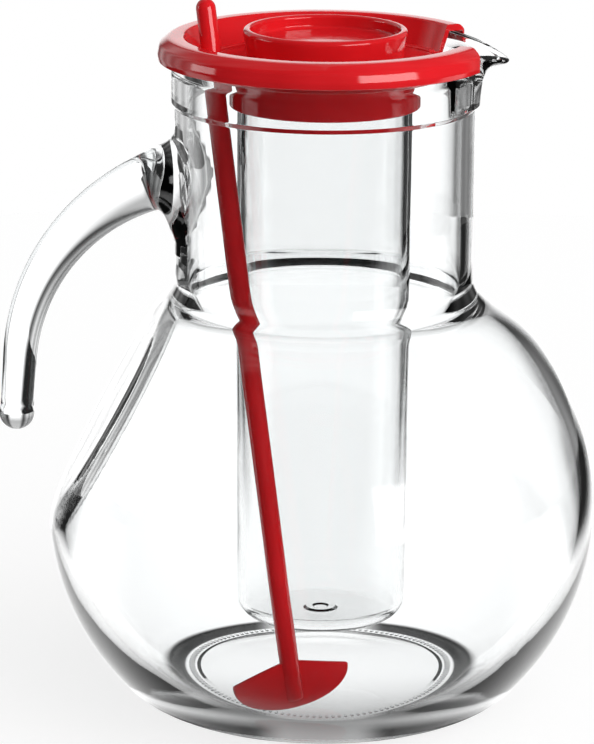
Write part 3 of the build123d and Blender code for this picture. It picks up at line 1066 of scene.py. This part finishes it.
def make_world():
    """A white sweep behind the object, a dark room in front of it with softboxes."""
    world = bpy.data.worlds.new("studio")
    bpy.context.scene.world = world
    world.use_nodes = True
    tree = world.node_tree
    tree.nodes.clear()
    place = tree.nodes.new("ShaderNodeTexCoord")
    split = tree.nodes.new("ShaderNodeSeparateXYZ")
    tree.links.new(place.outputs["Generated"], split.inputs["Vector"])
    x, y, z = (split.outputs[axis] for axis in "XYZ")
    camera, soft, through, mirrored = rays(tree)

    def wall(heading, half_width, softness, strength):
        return maths(tree, "MULTIPLY", facing(tree, x, y, heading, half_width, softness), strength)

    def height(low, high, softness):
        inside = step(tree, z, low - softness, low + softness)
        return maths(tree, "MULTIPLY", inside, step(tree, z, high + softness, high - softness))

    # The white sweep behind the object fades upwards, but stays white for what the plastic mirrors
    low_enough = maths(tree, "MULTIPLY", step(tree, z, 0.2, sweep_top), 1 - sweep_high_share)
    low_enough = maths(tree, "ADD", low_enough, sweep_high_share)
    high_mirrored = maths(tree, "MULTIPLY", mirrored, step(tree, z, 0.75, 0.5))
    low_enough = maths(tree, "MAXIMUM", low_enough, high_mirrored)
    sweep = wall(sweep_heading, sweep_half_width, 5, sweep_strength)
    sweep = maths(tree, "MULTIPLY", sweep, low_enough)
    wave = maths(tree, "MULTIPLY", maths(tree, "ARCTAN2", y, x), streak_count)
    wave = maths(tree, "MULTIPLY", maths(tree, "COSINE", wave), streak_depth)
    streaks = maths(tree, "ADD", wave, streak_level)
    wings = maths(tree, "ADD", wall(*left_wing, left_strength), wall(*right_wing, right_strength))
    wings = maths(tree, "MULTIPLY", maths(tree, "MULTIPLY", wings, low_enough), streaks)

    # Walls on the other sides show through the glass alone
    others = 0.0
    for heading, half_width, strength in walls_through_glass:
        others = maths(tree, "ADD", wall(heading, half_width, 5, strength), others)
    others = maths(tree, "MULTIPLY", others, through)

    softbox = wall(*softbox_place, softbox_strength)
    softbox = maths(tree, "MULTIPLY", softbox, height(0.0, 0.4, 0.02))
    strip = wall(*strip_place, softbox_strength * strip_share)
    strip = maths(tree, "MULTIPLY", strip, height(0.0, 0.2, 0.02))
    boxes = maths(tree, "MULTIPLY", maths(tree, "MAXIMUM", softbox, strip), mirrored)
    seen = maths(tree, "ADD", maths(tree, "ADD", sweep, wings), maths(tree, "ADD", others, boxes))
    seen = maths(tree, "ADD", seen, room_strength)

    # Soft light on the surfaces comes from the key's side

    key = Vector(key_direction).normalized()
    lean = maths(tree, "MULTIPLY", x, key.x)
    lean = maths(tree, "ADD", lean, maths(tree, "MULTIPLY", y, key.y))
    lean = maths(tree, "ADD", lean, maths(tree, "MULTIPLY", z, key.z))
    lean = maths(tree, "POWER", maths(tree, "MAXIMUM", lean, 0.0), 3.0)
    glow = maths(tree, "ADD", maths(tree, "MULTIPLY", lean, key_strength), ambient)

    level = blend_values(tree, camera, blend_values(tree, soft, seen, glow), 1.0)
    background = tree.nodes.new("ShaderNodeBackground")
    background.inputs["Color"].default_value = (1, 1, 1, 1)
    result = tree.nodes.new("ShaderNodeOutputWorld")
    tree.links.new(level, background.inputs["Strength"])
    tree.links.new(background.outputs["Background"], result.inputs["Surface"])


def make_floor():
    """Pale table top that keeps the object's shadow and carries a painted contact shadow around the foot,
    darker towards the front and the sides.
    """
    mesh = mesh_from("table", *disc(table_radius, 96))
    table = add_object("table", mesh)
    material = bpy.data.materials.new("table")
    material.use_nodes = True
    tree = material.node_tree
    tree.nodes.clear()
    camera, soft, through, _ = rays(tree)
    place = tree.nodes.new("ShaderNodeTexCoord")
    split = tree.nodes.new("ShaderNodeSeparateXYZ")
    tree.links.new(place.outputs["Object"], split.inputs["Vector"])
    x, y = split.outputs["X"], split.outputs["Y"]
    reach = tree.nodes.new("ShaderNodeVectorMath")
    reach.operation = "LENGTH"
    tree.links.new(place.outputs["Object"], reach.inputs[0])
    away = reach.outputs["Value"]
    # Dark behind to the left and right, which gives the ball its dark sides
    flags = [facing(tree, x, y, heading, flag_half_width, 4) for heading in flag_headings]
    flags = maths(tree, "ADD", *flags)
    sideways = maths(tree, "ABSOLUTE", x)
    flags = maths(tree, "MULTIPLY", flags, step(tree, sideways, 0.13, 0.2))
    back = step(tree, y, -0.08, 0.0)
    behind = maths(tree, "MULTIPLY", back, maths(tree, "SUBTRACT", 1.0, flags))
    front = maths(tree, "MULTIPLY", maths(tree, "SUBTRACT", 1.0, back), step(tree, away, 0.1, 0.17))
    lit = maths(tree, "ADD", behind, maths(tree, "MULTIPLY", front, through))
    # Painted contact shadow: the table's glow is darkened in a ring around the foot, open at the front and
    # the back
    start, end = step(tree, away, 0.0435, 0.0445), step(tree, away, 0.058, 0.052)
    painted_contact_shadow = maths(tree, "MULTIPLY", start, end)
    painted_contact_shadow = maths(tree, "MULTIPLY", painted_contact_shadow, step(tree, sideways, 0.01, 0.022))
    lit = maths(tree, "MULTIPLY", lit, maths(tree, "SUBTRACT", 1.0, painted_contact_shadow))
    lit = maths(tree, "MULTIPLY", lit, sweep_strength * table_share)
    diffuse = tree.nodes.new("ShaderNodeBsdfDiffuse")
    tree.links.new(blend_values(tree, camera, 0.03, 0.3), diffuse.inputs["Color"])
    glow = tree.nodes.new("ShaderNodeEmission")
    level = blend_values(tree, camera, blend_values(tree, soft, lit, 0.5), 0.8)
    tree.links.new(level, glow.inputs["Strength"])
    both = tree.nodes.new("ShaderNodeAddShader")
    result = tree.nodes.new("ShaderNodeOutputMaterial")
    tree.links.new(diffuse.outputs["BSDF"], both.inputs[0])
    tree.links.new(glow.outputs["Emission"], both.inputs[1])
    tree.links.new(both.outputs["Shader"], result.inputs["Surface"])
    mesh.materials.append(material)


def disc(radius, count):
    """Points and the one face of a flat disc."""
    angles = np.linspace(0, 2 * math.pi, count, False)
    return [(radius * math.cos(a), radius * math.sin(a), 0) for a in angles], [tuple(range(count))]


def dress(piece, material, body, slot, *nodes):
    """Gives a piece its finish, its body and the solids it stands for."""
    piece.data.materials.clear()
    piece.data.materials.append(material)
    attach(piece, body)
    if nodes:
        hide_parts(*nodes)


bpy.context.scene.view_settings.view_transform = "Standard"
make_camera()
make_world()
make_floor()
glass = make_glass()
red_plastic = make_red_plastic()
dress(make_jug(), glass, "jug", "glass", "glass_jug", "handle")
dress(make_foot_ticks(), glass, "jug", "glass")
dress(make_lid(), red_plastic, "lid", "red_plastic", "lid")
dress(make_ice_tube(), make_clear_plastic(), "tube", "clear_plastic", "ice_tube")
dress(make_tube_cap(), red_plastic, "cap", "red_plastic", "tube_cap")
dress(make_stirrer(), red_plastic, "stirrer", "red_plastic", "stirrer")
